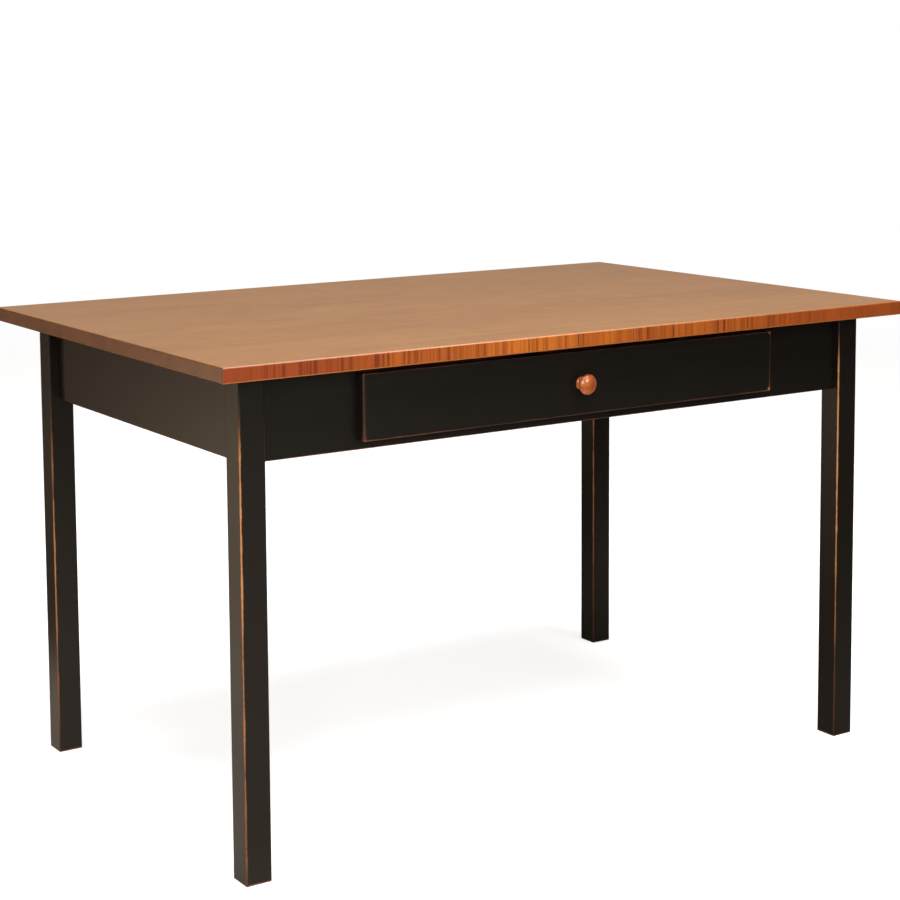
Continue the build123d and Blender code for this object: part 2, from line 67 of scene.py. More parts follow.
class Mixer:
    """Adds nodes to a tree. Each method adds what it names and gives back its output."""

    def __init__(self, tree):
        self.nodes = tree.nodes
        self.links = tree.links

    def feed(self, socket, value):
        """Link an output to a socket, or set the socket's own number or colour."""
        if isinstance(value, bpy.types.NodeSocket):
            self.links.new(value, socket)
        else:
            socket.default_value = (*value, 1) if socket.type == "RGBA" else value

    def calc(self, operation, *values, clamp=False):
        node = self.nodes.new("ShaderNodeMath")
        node.operation = operation
        node.use_clamp = clamp
        for socket, value in zip(node.inputs, values):
            self.feed(socket, value)
        return node.outputs[0]

    def total(self, *terms):
        """Add up numbers and outputs. A pair (output, weight) counts with its middle, 0.5, at nothing."""
        result = 0.0
        for term in terms:
            if isinstance(term, tuple):
                output, weight = term
                term = self.calc("MULTIPLY", self.calc("SUBTRACT", output, 0.5), weight)
            result = self.calc("ADD", result, term)
        return result

    def largest(self, values):
        result = values[0]
        for value in values[1:]:
            result = self.calc("MAXIMUM", result, value)
        return result

    def step(self, value, start, end):
        """A smooth step from 0 at start to 1 at end; start may be the larger."""
        node = self.nodes.new("ShaderNodeMapRange")
        node.interpolation_type = "SMOOTHSTEP"
        low, high = (start, end) if start < end else (end, start)
        self.feed(node.inputs["Value"], value)
        node.inputs["From Min"].default_value = low
        node.inputs["From Max"].default_value = high
        node.inputs["To Min"].default_value = 0.0 if start < end else 1.0
        node.inputs["To Max"].default_value = 1.0 if start < end else 0.0
        return node.outputs["Result"]

    def axes(self, vector):
        node = self.nodes.new("ShaderNodeSeparateXYZ")
        self.feed(node.inputs[0], vector)
        return dict(zip("xyz", node.outputs))

    def join(self, x, y, z):
        node = self.nodes.new("ShaderNodeCombineXYZ")
        for socket, value in zip(node.inputs, (x, y, z)):
            self.feed(socket, value)
        return node.outputs[0]

    def noise(self, place, pitch, seed=0.0, detail=2.0, roughness=0.5):
        """Noise about 0.5 whose features are pitch metres long in x, y and z."""
        mapping = self.nodes.new("ShaderNodeMapping")
        mapping.inputs["Location"].default_value = (seed, seed * 1.7, seed * 2.3)
        mapping.inputs["Scale"].default_value = [1 / length for length in pitch]
        self.feed(mapping.inputs["Vector"], place)
        node = self.nodes.new("ShaderNodeTexNoise")
        node.inputs["Scale"].default_value = 1.0
        node.inputs["Detail"].default_value = detail
        node.inputs["Roughness"].default_value = roughness
        self.feed(node.inputs["Vector"], mapping.outputs[0])
        return node.outputs["Fac"]

    def ramp(self, value, stops):
        """Read a number or a colour off a list of (position, number or colour)."""
        node = self.nodes.new("ShaderNodeValToRGB")
        elements = node.color_ramp.elements
        while len(elements) < len(stops):
            elements.new(1.0)
        for element, (position, colour) in zip(elements, stops):
            element.position = position
            element.color = (*colour, 1) if isinstance(colour, tuple) else (colour, colour, colour, 1)
        self.feed(node.inputs["Fac"], value)
        return node.outputs["Color"]

    def blend(self, share, first, second):
        node = self.nodes.new("ShaderNodeMix")
        node.data_type = "RGBA"
        self.feed(node.inputs["Factor"], share)
        self.feed(node.inputs[6], first)
        self.feed(node.inputs[7], second)
        return node.outputs[2]

    def ray(self, kind):
        """1 for the rays of one kind: Camera for what the eye sees, Glossy for what a gloss mirrors."""
        return self.nodes.new("ShaderNodeLightPath").outputs[f"Is {kind} Ray"]


class Finish(Mixer):
    """A material being mixed."""

    def __init__(self, name):
        self.material = bpy.data.materials.new(name)
        self.material.use_nodes = True
        super().__init__(self.material.node_tree)
        self.shader = self.nodes["Principled BSDF"]
        self.place = self.nodes.new("ShaderNodeTexCoord").outputs["Object"]

    def surface(self, **values):
        """Set the shader's sockets, named with underscores for spaces."""
        for name, value in values.items():
            self.feed(self.shader.inputs[name.replace("_", " ")], value)

    def relief(self, height, depth):
        """Raise and sink the surface by a pattern; depth is in metres."""
        node = self.nodes.new("ShaderNodeBump")
        node.inputs["Strength"].default_value = 1.0
        node.inputs["Distance"].default_value = depth
        self.feed(node.inputs["Height"], height)
        self.feed(self.shader.inputs["Normal"], node.outputs["Normal"])

    def normal(self):
        return self.axes(self.nodes.new("ShaderNodeNewGeometry").outputs["Normal"])

    def facing(self, axis):
        """1 where the surface faces either way along an axis, 0 where it turns away."""
        turned_away, facing = 0.35, 0.75
        return self.step(self.calc("ABSOLUTE", self.normal()[axis]), turned_away, facing)

    def rounding(self, first, second):
        """1 along the rounded arrises between faces on two axes, 0 on the flats."""
        flat, rounded = 0.06, 0.36
        normal = self.normal()
        between = self.calc("MULTIPLY", normal[first], normal[second])
        return self.step(self.calc("ABSOLUTE", between), flat, rounded)


# ---------------------------------------------------------------- timber


class Timber:
    """The grain of one board, in three dimensions, so that its faces, edges and ends agree."""

    def __init__(self, finish, along, heart, ring_width, seed):
        axes = finish.axes(finish.place)
        across = [axis for axis in "xyz" if axis != along]
        board = finish.join(axes[along], axes[across[0]], axes[across[1]])
        self.finish, self.place, self.seed = finish, board, seed
        sway = finish.noise(board, (0.7, 0.16, 0.16), seed, 2.0)
        waver = finish.noise(board, (0.05, 0.03, 0.03), seed + 3, 1.0)
        sides = [
            finish.total(axes[axis], -centre, (sway, 0.05), (waver, 0.002))
            for axis, centre in zip(across, heart)
        ]
        squares = [finish.calc("POWER", side, 2.0) for side in sides]
        radius = finish.calc("SQRT", finish.calc("ADD", *squares))
        self.rings = finish.ramp(
            finish.calc("FRACT", finish.calc("DIVIDE", radius, ring_width)),
            [(0.0, 0.25), (0.12, 0.0), (0.7, 0.35), (0.93, 1.0), (1.0, 0.25)],
        )
        self.fibre = finish.noise(board, (0.12, 0.0013, 0.0013), seed + 5, 3.0, 0.6)
        wood, pore = 0.66, 0.74
        specks = finish.noise(board, (0.012, 0.00045, 0.00045), seed + 7, 1.0)
        self.pores = finish.step(specks, wood, pore)
        self.patches = finish.noise(board, (0.34, 0.06, 0.06), seed + 9, 3.0, 0.55)

    def figure(self, width):
        """Curly figure: bands across the grain about width metres apart."""
        return self.finish.noise(self.place, (width, 0.09, 0.05), self.seed + 11, 2.0, 0.55)


# ---------------------------------------------------------------- finishes


def curly_bars(finish, place, pitch, seed):
    """Dark bars across the grain with soft edges, 1 in the middle of each, about twice pitch metres apart."""
    beside_bar, in_bar = 0.54, 0.38
    return finish.step(finish.noise(place, (pitch, 0.3, 0.3), seed, 1.0), beside_bar, in_bar)


# how strong the bars are, and how golden the wood between them, from the left end of the desk to the right;
# the golden share is partly the wood's figure and partly painted light, brightest a little left of the middle
BAR_STRENGTH = [
    (0.0, 0.3),
    (0.05, 1.0),
    (0.2, 1.0),
    (0.3, 0.85),
    (0.38, 0.65),
    (0.58, 0.9),
    (0.7, 1.0),
    (0.8, 0.5),
    (1.0, 0.3),
]
GOLDEN_AND_LIGHT_SHARE = [
    (0.0, 0.0),
    (0.12, 0.12),
    (0.22, 0.46),
    (0.42, 1.0),
    (0.52, 0.6),
    (0.68, 0.66),
    (0.77, 0.38),
    (1.0, 0.22),
]


def curly_edge(finish, timber, position, seed):
    """The long edge of a curly board: dark bars across it, in clusters, faint at the ends."""
    broad_pitch, fine_pitch, deepest = 5.4 * MM, 2.6 * MM, 0.9
    red_brown, golden, bar = (0.295, 0.051, 0.010), (0.575, 0.155, 0.018), (0.15, 0.020, 0.006)
    strength = finish.ramp(position, BAR_STRENGTH)
    clusters = finish.noise(timber.place, (0.05, 0.3, 0.3), seed + 22, 1.0)
    broad = finish.calc("MULTIPLY", curly_bars(finish, timber.place, broad_pitch, seed + 20), 0.9)
    fine = finish.calc("MULTIPLY", curly_bars(finish, timber.place, fine_pitch, seed + 21), 0.6)
    bars = finish.calc("MULTIPLY", finish.total(broad, fine), finish.total(0.68, (clusters, 1.8)))
    dark = finish.total(bars, (timber.fibre, 0.35))
    dark = finish.calc("MULTIPLY", finish.calc("MULTIPLY", dark, strength), deepest, clamp=True)
    # partly painted light: the golden share is highest where the edge looks brightest, a little left of the
    # middle
    share = finish.ramp(finish.total(position, (clusters, 0.25)), GOLDEN_AND_LIGHT_SHARE)
    return finish.blend(dark, finish.blend(share, red_brown, golden), bar)


# how strongly the upper long arris is painted pale as a highlight, from the left end of the desk to the right
UPPER_ARRIS_HIGHLIGHT = [(0.0, 0.22), (0.1, 0.26), (0.3, 0.55), (0.6, 0.3), (0.8, 0.12), (1.0, 0.0)]


def stained_top(board, seed, tone):
    """Brown-stained curly maple under satin lacquer: darker on the end grain, with painted highlights and
    some worn wood on the long arrises.
    """
    ring_width, heart_depth, ripple_width = 4.6 * MM, 0.14, 0.02
    low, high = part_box(board)
    finish = Finish(f"stained_maple_{board}")
    bark_up = 1 if seed % 2 else -1
    heart = ((low.y + high.y) / 2 + tone * 0.4, high.z + bark_up * heart_depth)
    timber = Timber(finish, "x", heart, ring_width, seed)
    ripple = timber.figure(ripple_width)
    streaks = finish.noise(timber.place, (0.15, 0.017, 0.017), seed + 15, 3.0, 0.55)
    dashes = finish.noise(timber.place, (0.035, 0.0035, 0.0035), seed + 17, 2.0, 0.5)
    shade = finish.total(
        0.48 + tone,
        (timber.patches, 0.25),
        (streaks, 0.24),
        (timber.fibre, 0.2),
        (dashes, 0.32),
        (timber.rings, -0.07),
        (ripple, 0.1),
    )
    face = finish.ramp(
        shade,
        [(0.0, (0.180, 0.060, 0.018)), (0.45, (0.330, 0.144, 0.042)), (1.0, (0.54, 0.266, 0.090))],
    )
    end_shade = finish.total(
        0.5,
        (timber.rings, -0.18),
        (timber.patches, 0.7),
        (streaks, 0.4),
        (timber.pores, -0.15),
    )
    end = finish.ramp(end_shade, [(0.1, (0.11, 0.039, 0.015)), (0.9, (0.235, 0.094, 0.040))])
    across = finish.axes(finish.place)["x"]
    position = finish.calc("DIVIDE", finish.calc("SUBTRACT", across, desk_low.x), desk_high.x - desk_low.x)
    colour = finish.blend(finish.facing("y"), face, curly_edge(finish, timber, position, seed))
    # painted highlights: the long arrises are coloured paler, partly as worn wood; on the upper one the
    # highlight fades from left to right, and on the lower one it is golden all along
    upper, lower = finish.ramp(position, UPPER_ARRIS_HIGHLIGHT), 0.85
    upwards, downwards = (-0.1, 0.1), (0.1, -0.1)
    for side, rub, bare in (
        (upwards, upper, (0.76, 0.40, 0.23)),
        (downwards, lower, (0.62, 0.20, 0.036)),
    ):
        arris = finish.calc("MULTIPLY", finish.rounding("y", "z"), finish.step(finish.normal()["z"], *side))
        colour = finish.blend(finish.calc("MULTIPLY", arris, rub), colour, bare)
    colour = finish.blend(finish.facing("x"), colour, end)
    finish.surface(
        Base_Color=colour,
        Roughness=finish.total(0.33, (timber.patches, 0.06), (timber.fibre, 0.05)),
        Specular_IOR_Level=0.4,
        Coat_Weight=0.35,
        Coat_Roughness=0.2,
    )
    finish.relief(finish.total(timber.fibre, (timber.pores, -0.6)), 0.04 * MM)
    return finish.material


# from whole paint, through the thin paint and stain at its rim, to bare wood
PAINT_LAYERS = [
    (0.0, (0.0090, 0.0070, 0.0053)),
    (0.12, (0.0097, 0.0073, 0.0053)),
    (0.30, (0.045, 0.021, 0.012)),
    (0.46, (0.105, 0.036, 0.016)),
    (0.68, (0.32, 0.108, 0.030)),
    (1.0, (0.62, 0.27, 0.092)),
]


class Rub:
    """One arris where the paint is rubbed through: the planes that meet there, and how far and how hard."""

    def __init__(self, planes, reach, strength=1.0, along=None, span=(0.0, 1.0), profile=None):
        self.planes = planes
        self.reach = reach
        self.strength = strength
        self.along = along
        self.span = span
        self.profile = profile


def worn(finish, axes, rub, coarse, fine):
    """How far the paint is gone near one arris: 0 where it is whole, 1 at bare wood."""
    whole, gone = 1.0, 0.25
    gaps = [
        finish.calc("ABSOLUTE", finish.calc("SUBTRACT", axes[axis], plane))
        for axis, plane in rub.planes.items()
    ]
    reach = finish.calc("MULTIPLY", finish.total(0.8, (coarse, 1.5)), rub.reach)
    share = finish.total(finish.calc("DIVIDE", finish.largest(gaps), reach), (fine, 0.5))
    bare = finish.calc("MULTIPLY", finish.step(share, whole, gone), rub.strength)
    if rub.profile:
        low, high = rub.span
        position = finish.calc("DIVIDE", finish.calc("SUBTRACT", axes[rub.along], low), high - low)
        bare = finish.calc("MULTIPLY", bare, finish.ramp(position, rub.profile))
    return bare


def rubbed_paint(name, along, rubs, seed):
    """Satin black paint over stained wood, rubbed through at the listed arrises."""
    finish = Finish(name)
    axes = finish.axes(finish.place)
    coarse = finish.noise(finish.place, (0.05, 0.05, 0.05), seed, 2.0)
    fine = finish.noise(finish.place, (0.003, 0.003, 0.006), seed + 2, 2.0)
    stroke = [0.0022, 0.0022, 0.0022]
    stroke["xyz".index(along)] = 0.16
    brushing = finish.noise(finish.place, stroke, seed + 4, 3.0, 0.6)
    clouds = finish.noise(finish.place, (0.11, 0.11, 0.11), seed + 6, 2.0)
    bare = finish.largest([worn(finish, axes, rub, coarse, fine) for rub in rubs])
    grain = finish.calc("MULTIPLY", finish.total(1.0, (brushing, 0.5)), bare)
    finish.surface(
        Base_Color=finish.ramp(grain, PAINT_LAYERS),
        Roughness=finish.total(0.32, (clouds, 0.05), (brushing, 0.07), finish.calc("MULTIPLY", bare, 0.14)),
        Specular_IOR_Level=0.42,
    )
    finish.relief(finish.total(finish.calc("MULTIPLY", bare, -1.0), (brushing, 0.22)), 0.09 * MM)
    return finish.material


def plain_wood(name, along, heart, seed, pale, dark, roughness=0.5, coat=0.0, ring_width=0.0035):
    """Unstained timber with its rings, fibres and pores, darker on the end grain."""
    end_darkening = 0.62
    finish = Finish(name)
    timber = Timber(finish, along, heart, ring_width, seed)
    shade = finish.total(
        0.62, (timber.rings, -0.34), (timber.fibre, 0.4), (timber.patches, 0.5), (timber.pores, -0.25)
    )
    faces = finish.ramp(shade, [(0.0, dark), (1.0, pale)])
    dark_end, pale_end = (tuple(end_darkening * channel for channel in colour) for colour in (dark, pale))
    end_grain = finish.ramp(shade, [(0.0, dark_end), (1.0, pale_end)])
    finish.surface(
        Base_Color=finish.blend(finish.facing(along), faces, end_grain),
        Roughness=finish.total(roughness, (timber.fibre, 0.12)),
        Coat_Weight=coat,
        Coat_Roughness=0.2,
    )
    finish.relief(finish.total(timber.fibre, (timber.pores, -0.8)), 0.06 * MM)
    return finish.material


def stained_knob():
    """Turned maple, stained orange brown and polished."""
    finish = Finish("stained_knob")
    low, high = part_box("knob")
    ring_width = 2.6 * MM
    heart = (low.x - 6 * MM, (low.z + high.z) / 2 - 4 * MM)
    timber = Timber(finish, "y", heart, ring_width, 4)
    blotches = finish.noise(finish.place, (0.011, 0.016, 0.009), 6, 2.0)
    shade = finish.total(0.55, (timber.rings, -0.35), (timber.fibre, 0.4), (blotches, 1.0))
    colour = finish.ramp(
        shade,
        [
            (0.1, (0.12, 0.018, 0.005)),
            (0.45, (0.38, 0.070, 0.011)),
            (0.75, (0.66, 0.180, 0.026)),
            (1.0, (0.76, 0.27, 0.045)),
        ],
    )
    finish.surface(Base_Color=colour, Roughness=0.3, Coat_Weight=1.0, Coat_Roughness=0.13)
    finish.relief(timber.fibre, 0.02 * MM)
    return finish.material


def plated_steel(name, colour, roughness, along="y"):
    """Zinc-plated sheet or screw steel, faintly drawn along its length."""
    finish = Finish(name)
    drawn = [0.0006, 0.0006, 0.0006]
    drawn["xyz".index(along)] = 0.06
    lines = finish.noise(finish.place, drawn, 2, 2.0, 0.6)
    spangle = finish.noise(finish.place, (0.006, 0.006, 0.006), 5, 3.0, 0.6)
    dull = tuple(0.74 * channel for channel in colour)
    shade = finish.total(0.55, (spangle, 0.9), (lines, 0.5))
    finish.surface(
        Base_Color=finish.ramp(shade, [(0.2, dull), (0.8, colour)]),
        Metallic=1.0,
        Roughness=finish.total(roughness, (spangle, 0.16), (lines, 0.1)),
    )
    finish.relief(lines, 0.008 * MM)
    return finish.material


def clear_bumper():
    """Soft clear rubber, slightly milky."""
    finish = Finish("clear_bumper")
    cloud = finish.noise(finish.place, (0.003, 0.003, 0.003), 1, 2.0)
    finish.surface(
        Base_Color=finish.ramp(cloud, [(0.3, (0.58, 0.58, 0.56)), (0.7, (0.74, 0.74, 0.71))]),
        Roughness=0.35,
        Transmission_Weight=0.5,
        IOR=1.48,
    )
    return finish.material


# ---------------------------------------------------------------- paint on the base

# how hard each leg's front left arris is rubbed, from the foot up
LEG_PROFILES = {
    ("front", "left"): [
        (0.0, 0.5),
        (0.05, 0.62),
        (0.35, 0.78),
        (0.6, 1.0),
        (0.84, 0.95),
        (0.93, 0.3),
        (1.0, 0.0),
    ],
    ("back", "left"): [
        (0.0, 0.4),
        (0.12, 0.6),
        (0.4, 0.9),
        (0.58, 0.82),
        (0.72, 0.64),
        (0.82, 0.22),
        (0.92, 0.0),
    ],
    ("front", "right"): [
        (0.0, 0.35),
        (0.14, 0.45),
        (0.42, 0.85),
        (0.6, 1.0),
        (0.9, 0.95),
        (0.96, 0.4),
        (1.0, 0.1),
    ],
    ("back", "right"): [
        (0.0, 0.4),
        (0.2, 0.6),
        (0.5, 0.85),
        (0.8, 0.95),
        (0.88, 0.6),
        (0.95, 0.2),
        (1.0, 0.0),
    ],
}
FAINT_PROFILE = [(0.0, 0.4), (0.1, 0.3), (0.5, 0.42), (0.82, 0.42), (0.93, 0.2), (1.0, 0.0)]


def paint_leg(row, side, seed):
    low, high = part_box(f"leg_{row}_{side}")
    height = {"along": "z", "span": (low.z, high.z)}
    arrises = [
        Rub({"x": low.x, "y": low.y}, 4.2 * MM, 1.0, profile=LEG_PROFILES[row, side], **height),
        Rub({"x": high.x, "y": low.y}, 3.0 * MM, 1.0, profile=FAINT_PROFILE, **height),
        Rub({"x": low.x, "y": high.y}, 3.2 * MM, 1.0, profile=FAINT_PROFILE, **height),
        Rub({"x": high.x, "y": high.y}, 3.2 * MM, 1.0, profile=FAINT_PROFILE, **height),
        Rub({"z": low.z}, 6.0 * MM, 0.62),
    ]
    return rubbed_paint(f"black_paint_leg_{row}_{side}", "z", arrises, seed)


def paint_apron(name, axis, face, along, seed):
    """Paint for a board whose outer face is the plane axis = face, rubbed along its bottom arris.

    The rubbing fades out towards the right or back end of the board.
    """
    span = (getattr(desk_low, along), getattr(desk_high, along))
    fading = [(0.0, 1.0), (0.72, 1.0), (0.84, 0.3), (0.88, 0.0)]
    arris = Rub({axis: face, "z": apron_bottom}, 3.2 * MM, 0.62, along=along, span=span, profile=fading)
    return rubbed_paint(name, along, [arris], seed)


def paint_upper_rail():
    """Paint for the rail over the drawer. The strip under the top, behind the drawer front, is coloured as
    bare brown wood: painted warm bounce light from the top's underside.
    """
    # painted bounce light: bare-wood brown on the shaded strip under the top brightens the gap above the
    # drawer
    bounce_glow_strip = Rub(
        {"y": front_apron_face, "z": desk_low.z},
        22.0 * MM,
        0.7,
        along="x",
        span=(front_low.x, front_high.x),
        profile=[(0.0, 0.0), (0.01, 1.0), (0.99, 1.0), (1.0, 0.0)],
    )
    return rubbed_paint("black_paint_upper_rail_bounce_lit", "x", [bounce_glow_strip], 91)


def paint_drawer_front():
    ends = [(0.0, 1.0), (0.06, 0.85), (0.3, 0.7), (0.66, 0.5), (0.9, 0.8), (1.0, 1.0)]
    sides = [(0.0, 1.0), (0.12, 0.75), (0.5, 0.62), (0.88, 0.7), (1.0, 0.95)]
    across = {"along": "x", "span": (front_low.x, front_high.x)}
    upright = {"along": "z", "span": (front_low.z, front_high.z)}
    rubs = [
        Rub({"y": front_low.y, "z": front_low.z}, 3.8 * MM, 0.66, profile=ends, **across),
        Rub({"y": front_low.y, "z": front_high.z}, 3.8 * MM, 0.56, profile=ends, **across),
        Rub({"y": front_low.y, "x": front_low.x}, 9.0 * MM, 0.50, profile=sides, **upright),
        Rub({"y": front_low.y, "x": front_high.x}, 5.0 * MM, 0.74, profile=sides, **upright),
    ]
    for x, reach, strength in ((front_low.x, 8.0 * MM, 0.62), (front_high.x, 10.0 * MM, 0.84)):
        for z in (front_low.z, front_high.z):
            rubs.append(Rub({"x": x, "y": front_low.y, "z": z}, reach, strength))
    return rubbed_paint("black_paint_drawer_front", "x", rubs, 31)


# ---------------------------------------------------------------- the turned knob


def turned_knob():
    """A lathe-turned knob: a low foot, a cove neck and a full domed cap."""
    facets = 48
    low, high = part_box("knob")
    axis_x, axis_z = (low.x + high.x) / 2, (low.z + high.z) / 2
    foot, face = high.y, low.y
    depth = foot - face
    cap = (high.x - low.x) / 2
    # shares of the cap's radius and of the depth, from the foot's back to the middle of the dome
    profile = [
        (0.0, 0.0),
        (0.620, 0.0),
        (0.650, 0.012),
        (0.660, 0.070),
        (0.645, 0.110),
        (0.590, 0.130),
        (0.530, 0.150),
        (0.460, 0.205),
        (0.430, 0.300),
        (0.450, 0.400),
        (0.540, 0.490),
        (0.720, 0.560),
        (0.900, 0.600),
        (0.985, 0.645),
        (1.0, 0.700),
        (0.970, 0.775),
        (0.880, 0.845),
        (0.720, 0.910),
        (0.500, 0.962),
        (0.250, 0.991),
        (0.0, 1.0),
    ]
    mesh = bmesh.new()
    line = [mesh.verts.new((axis_x + r * cap, foot - d * depth, axis_z)) for r, d in profile]
    edges = [mesh.edges.new(pair) for pair in zip(line, line[1:])]
    bmesh.ops.spin(
        mesh,
        geom=line + edges,
        cent=(axis_x, 0, axis_z),
        axis=(0, 1, 0),
        angle=math.tau,
        steps=facets,
        use_merge=True,
    )
    bmesh.ops.remove_doubles(mesh, verts=mesh.verts, dist=0.01 * MM)
    bmesh.ops.recalc_face_normals(mesh, faces=mesh.faces)
    for turned in mesh.faces:
        turned.smooth = True
    knob = made_piece("turned_knob", mesh, stained_knob())
    rounding = knob.modifiers.new("rounding", "SUBSURF")
    rounding.levels = rounding.render_levels = 1
    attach(knob, "drawer")
    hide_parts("knob")


def made_piece(name, mesh, material):
    """Turn a bmesh into an object at the origin with one material."""
    data = bpy.data.meshes.new(name)
    mesh.to_mesh(data)
    mesh.free()
    data.materials.append(material)
    piece = bpy.data.objects.new(name, data)
    bpy.context.scene.collection.objects.link(piece)
    return piece


# ---------------------------------------------------------------- dressing the pieces


def dress(node, material):
    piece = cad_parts[node]
    piece.data.materials.clear()
    piece.data.materials.append(material)


def dress_top():
    tones = (0.05, 0.0, 0.02, 0.0, 0.01)
    for number, tone in enumerate(tones, start=1):
        board = f"top_board_{number}"
        dress(board, stained_top(board, 3 * number, tone))


def dress_base():
    for seed, (row, side) in enumerate([(row, side) for row in ROWS for side in SIDES]):
        dress(f"leg_{row}_{side}", paint_leg(row, side, 10 * seed + 1))
    dress("apron_left", paint_apron("black_paint_apron_left", "x", left_apron_face, "y", 51))
    dress("apron_right", paint_apron("black_paint_apron_right", "x", right_apron_face, "y", 61))
    dress("apron_back", paint_apron("black_paint_apron_back", "y", back_apron_face, "x", 71))
    front_paint = paint_apron("black_paint_front", "y", front_apron_face, "x", 81)
    for node in ("front_rail_lower", "front_panel_left", "front_panel_right"):
        dress(node, front_paint)
    dress("front_rail_upper", paint_upper_rail())
    dress("drawer_front", paint_drawer_front())


def dress_hardwood():
    pale, dark = (0.62, 0.42, 0.24), (0.36, 0.20, 0.095)
    for seed, row in enumerate(ROWS):
        for side in SIDES:
            node = f"corner_brace_{row}_{side}"
            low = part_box(node)[0]
            heart = (low.x - 0.03, low.y - 0.04)
            dress(node, plain_wood(f"poplar_{node}", "z", heart, 5 * seed + 2, pale, dark))
    dress("top_buttons", plain_wood("poplar_buttons", "y", (0.02, 0.70), 13, pale, dark))
    for side in SIDES:
        node = f"drawer_runner_{side}"
        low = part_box(node)[0]
        heart = (low.x + 0.05, low.z - 0.05)
        dress(node, plain_wood(f"poplar_{node}", "y", heart, 17, pale, dark))


def dress_drawer_sides():
    pale, dark = (0.60, 0.41, 0.245), (0.41, 0.25, 0.12)
    boards = (
        ("drawer_box_front", "x"),
        ("drawer_box_back", "x"),
        ("drawer_side_left", "y"),
        ("drawer_side_right", "y"),
    )
    for seed, (node, along) in enumerate(boards):
        low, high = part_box(node)
        middle = (low + high) / 2
        across = middle.y if along == "x" else middle.x
        maple = plain_wood(
            f"maple_{node}",
            along,
            heart=(across + 0.09, low.z + 0.02),
            seed=7 * seed + 3,
            pale=pale,
            dark=dark,
            roughness=0.34,
            coat=0.3,
            ring_width=4.2 * MM,
        )
        dress(node, maple)


def dress_drawer_bottom():
    low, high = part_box("drawer_bottom")
    birch = plain_wood(
        "birch_drawer_bottom",
        "x",
        heart=((low.y + high.y) / 2, low.z - 0.10),
        seed=29,
        pale=(0.58, 0.43, 0.27),
        dark=(0.42, 0.275, 0.15),
        roughness=0.4,
        coat=0.2,
        ring_width=6 * MM,
    )
    dress("drawer_bottom", birch)


def dress_hardware():
    zinc = plated_steel("zinc_slides", (0.70, 0.71, 0.72), 0.34)
    cage = plated_steel("zinc_ball_cages", (0.60, 0.61, 0.62), 0.4)
    screws = plated_steel("zinc_screws", (0.62, 0.60, 0.55), 0.36, "z")
    balls = plated_steel("polished_balls", (0.80, 0.80, 0.80), 0.14)
    for side in SIDES:
        for member in ("cabinet", "middle", "drawer"):
            dress(f"slide_{member}_member_{side}", zinc)
        for place in ("outer", "inner"):
            dress(f"ball_cage_{place}_{side}", cage)
            dress(f"balls_{place}_{side}", balls)
    for group in (
        "corner_brace_screws",
        "top_button_screws",
        "slide_cabinet_screws",
        "slide_drawer_screws",
        "drawer_front_screws",
        "knob_screw",
    ):
        dress(group, screws)
    dress("drawer_bumpers", clear_bumper())


# ---------------------------------------------------------------- studio


def floor_lane(finish, axes):
    """1 in a dark lane across the floor behind the desk, 0 elsewhere."""
    outward = finish.calc("ADD", finish.calc("MULTIPLY", axes["x"], 2.2), axes["y"])
    lane = finish.calc("MULTIPLY", finish.step(outward, -1.95, -1.25), finish.step(axes["y"], 0.6, 1.1))
    return finish.calc("MULTIPLY", lane, finish.step(axes["x"], 0.8, 0.1))


def mirrored_floor(finish, axes, lane):
    """The colour that the desk's gloss sees on the floor: grey, nearly black in front on the right."""
    near_black, grey, lane_black = (0.03, 0.026, 0.022), (0.34, 0.28, 0.22), (0.02, 0.014, 0.008)
    lit = finish.largest([finish.step(axes["x"], 2.0, -0.2), finish.step(axes["y"], -1.4, 0.2)])
    return finish.blend(lane, finish.ramp(lit, [(0.0, near_black), (1.0, grey)]), lane_black)


def glowing_card(finish, axes, lane):
    """The light that the desk's gloss sees on the floor: a warm card on the left, brighter to the back."""
    near_glow, far_glow, lane_glow = (0.50, 0.41, 0.34), (1.75, 1.26, 0.87), (0.05, 0.030, 0.013)
    beside_card = (0.01, 0.007, 0.004)
    slant = finish.calc("ADD", axes["x"], finish.calc("MULTIPLY", axes["y"], 0.6))
    on_card = finish.calc("MULTIPLY", finish.step(slant, -0.05, -0.45), finish.step(axes["y"], -0.6, -0.2))
    glow = finish.ramp(finish.step(axes["y"], 0.2, 2.4), [(0.0, near_glow), (1.0, far_glow)])
    return finish.blend(on_card, beside_card, finish.blend(lane, glow, lane_glow))


def studio_floor():
    """A white sweep that melts into the surround.

    It throws pale light up at the desk, less on the right. The desk mirrors a grey floor with a warm card on
    it and a dark lane, none of which the eye sees.
    """
    radius, fade_start, fade_end = 7.0, 2.6, 6.5
    right_pale, left_pale = (0.05, 0.045, 0.04), (0.80, 0.76, 0.72)
    unlit, eye_glow = (0.0, 0.0, 0.0), (0.7, 0.7, 0.7)
    mesh = bmesh.new()
    bmesh.ops.create_circle(mesh, cap_ends=True, segments=96, radius=radius)
    finish = Finish("studio_floor")
    axes = finish.axes(finish.place)
    mottle = finish.noise(finish.place, (0.5, 0.5, 0.5), 3, 2.0)
    white = finish.ramp(mottle, [(0.3, (0.86, 0.86, 0.86)), (0.7, (0.89, 0.89, 0.89))])
    pale = finish.ramp(finish.step(axes["x"], 0.9, -1.1), [(0.0, right_pale), (1.0, left_pale)])
    lane = floor_lane(finish, axes)
    mirrored = mirrored_floor(finish, axes, lane)
    card = glowing_card(finish, axes, lane)
    eye, gloss = finish.ray("Camera"), finish.ray("Glossy")
    squares = finish.calc("ADD", finish.calc("POWER", axes["x"], 2.0), finish.calc("POWER", axes["y"], 2.0))
    finish.surface(
        Base_Color=finish.blend(eye, finish.blend(gloss, pale, mirrored), white),
        Roughness=0.9,
        Specular_IOR_Level=0.1,
        Emission_Color=finish.blend(eye, finish.blend(gloss, unlit, card), eye_glow),
        Emission_Strength=1.0,
        Alpha=finish.step(finish.calc("SQRT", squares), fade_end, fade_start),
    )
    made_piece("studio_floor", mesh, finish.material)


